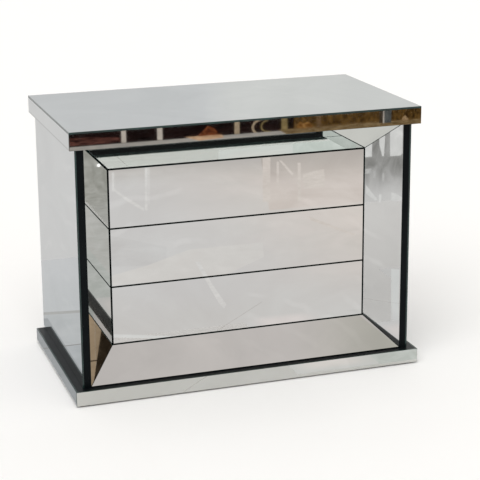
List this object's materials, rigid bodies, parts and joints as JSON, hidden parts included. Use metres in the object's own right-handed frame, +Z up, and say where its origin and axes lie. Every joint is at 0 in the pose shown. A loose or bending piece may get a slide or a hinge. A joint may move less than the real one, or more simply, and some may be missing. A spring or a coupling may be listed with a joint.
{
  "type": "mirrored nightstand",
  "caption": "Mirror-clad nightstand with an overhanging top slab, black-edged body, flush push-to-open drawers recessed between splayed mirror panels, and a mirrored plinth.",
  "frame": {"origin": "on the floor, under the middle of the outer box", "axes": "+X to the right as seen from the front, +Y from the front to the back, +Z up"},
  "size_m": [0.796, 0.434, 0.6],
  "materials": {
    "mirror_glass": "silvered float glass with ground edges",
    "black_board": "fibreboard in satin black lacquer",
    "fibreboard": "bare fibreboard",
    "grey_board": "hardboard painted dark grey",
    "drawer_wood": "clear-lacquered birch plywood",
    "zinc_steel": "zinc-plated rolled steel",
    "latch_plastic": "moulded nylon, dark grey",
    "plunger_plastic": "moulded acetal, light grey",
    "glide_plastic": "black polyethylene with a steel nail"
  },
  "bodies": {
    "carcass": {"plinth_deck": "black_board", "plinth_front_rail": "fibreboard", "plinth_back_rail": "fibreboard", "plinth_side_rails": "fibreboard", "plinth_front_mirror": "mirror_glass", "plinth_left_mirror": "mirror_glass", "plinth_right_mirror": "mirror_glass", "foot_glides": "glide_plastic", "base_panel": "fibreboard", "subtop_panel": "fibreboard", "left_side_panel": "black_board", "right_side_panel": "black_board", "left_upright": "fibreboard", "right_upright": "fibreboard", "back_panel": "grey_board", "left_side_mirror": "mirror_glass", "right_side_mirror": "mirror_glass", "splay_top_backer": "black_board", "splay_bottom_backer": "black_board", "splay_left_backer": "black_board", "splay_right_backer": "black_board", "splay_top_mirror": "mirror_glass", "splay_bottom_mirror": "mirror_glass", "splay_left_mirror": "mirror_glass", "splay_right_mirror": "mirror_glass", "top_board": "black_board", "top_mirror": "mirror_glass", "top_front_mirror": "mirror_glass", "top_left_mirror": "mirror_glass", "top_right_mirror": "mirror_glass", "slide_cabinet_members": "zinc_steel", "latch_housings": "latch_plastic", "screws": "zinc_steel"},
    "drawer_1": {"drawer_1_mirror": "mirror_glass", "drawer_1_front_board": "black_board", "drawer_1_left_side": "drawer_wood", "drawer_1_right_side": "drawer_wood", "drawer_1_back": "drawer_wood", "drawer_1_bottom": "drawer_wood", "drawer_1_slide_members": "zinc_steel"},
    "slide_middle_1": {"slide_middle_members_1": "zinc_steel"},
    "latch_plungers_1": {"latch_plungers_1": "plunger_plastic"},
    "drawer_2": {"drawer_2_mirror": "mirror_glass", "drawer_2_front_board": "black_board", "drawer_2_left_side": "drawer_wood", "drawer_2_right_side": "drawer_wood", "drawer_2_back": "drawer_wood", "drawer_2_bottom": "drawer_wood", "drawer_2_slide_members": "zinc_steel"},
    "slide_middle_2": {"slide_middle_members_2": "zinc_steel"},
    "latch_plungers_2": {"latch_plungers_2": "plunger_plastic"},
    "drawer_3": {"drawer_3_mirror": "mirror_glass", "drawer_3_front_board": "black_board", "drawer_3_left_side": "drawer_wood", "drawer_3_right_side": "drawer_wood", "drawer_3_back": "drawer_wood", "drawer_3_bottom": "drawer_wood", "drawer_3_slide_members": "zinc_steel"},
    "slide_middle_3": {"slide_middle_members_3": "zinc_steel"},
    "latch_plungers_3": {"latch_plungers_3": "plunger_plastic"}
  },
  "joints": [
    {"name": "drawer_1_slide", "type": "slide", "parent": "carcass", "child": "drawer_1", "axis": [0, -1, 0], "range_m": [0, 0.3]},
    {"name": "drawer_2_slide", "type": "slide", "parent": "carcass", "child": "drawer_2", "axis": [0, -1, 0], "range_m": [0, 0.3]},
    {"name": "drawer_3_slide", "type": "slide", "parent": "carcass", "child": "drawer_3", "axis": [0, -1, 0], "range_m": [0, 0.3]},
    {"name": "slide_middle_1_slide", "type": "slide", "parent": "carcass", "child": "slide_middle_1", "axis": [0, -1, 0], "range_m": [0, 0.15]},
    {"name": "slide_middle_2_slide", "type": "slide", "parent": "carcass", "child": "slide_middle_2", "axis": [0, -1, 0], "range_m": [0, 0.15]},
    {"name": "slide_middle_3_slide", "type": "slide", "parent": "carcass", "child": "slide_middle_3", "axis": [0, -1, 0], "range_m": [0, 0.15]},
    {"name": "latch_plungers_1_slide", "type": "slide", "parent": "carcass", "child": "latch_plungers_1", "axis": [0, -1, 0], "range_m": [0, 0.02]},
    {"name": "latch_plungers_2_slide", "type": "slide", "parent": "carcass", "child": "latch_plungers_2", "axis": [0, -1, 0], "range_m": [0, 0.02]},
    {"name": "latch_plungers_3_slide", "type": "slide", "parent": "carcass", "child": "latch_plungers_3", "axis": [0, -1, 0], "range_m": [0, 0.02]}
  ],
  "couplings": [
    {"joint": "slide_middle_1_slide", "follows": "drawer_1_slide", "ratio": 0.5},
    {"joint": "slide_middle_2_slide", "follows": "drawer_2_slide", "ratio": 0.5},
    {"joint": "slide_middle_3_slide", "follows": "drawer_3_slide", "ratio": 0.5},
    {"joint": "latch_plungers_1_slide", "follows": "drawer_1_slide", "ratio": 0.066},
    {"joint": "latch_plungers_2_slide", "follows": "drawer_2_slide", "ratio": 0.066},
    {"joint": "latch_plungers_3_slide", "follows": "drawer_3_slide", "ratio": 0.066}
  ]
}
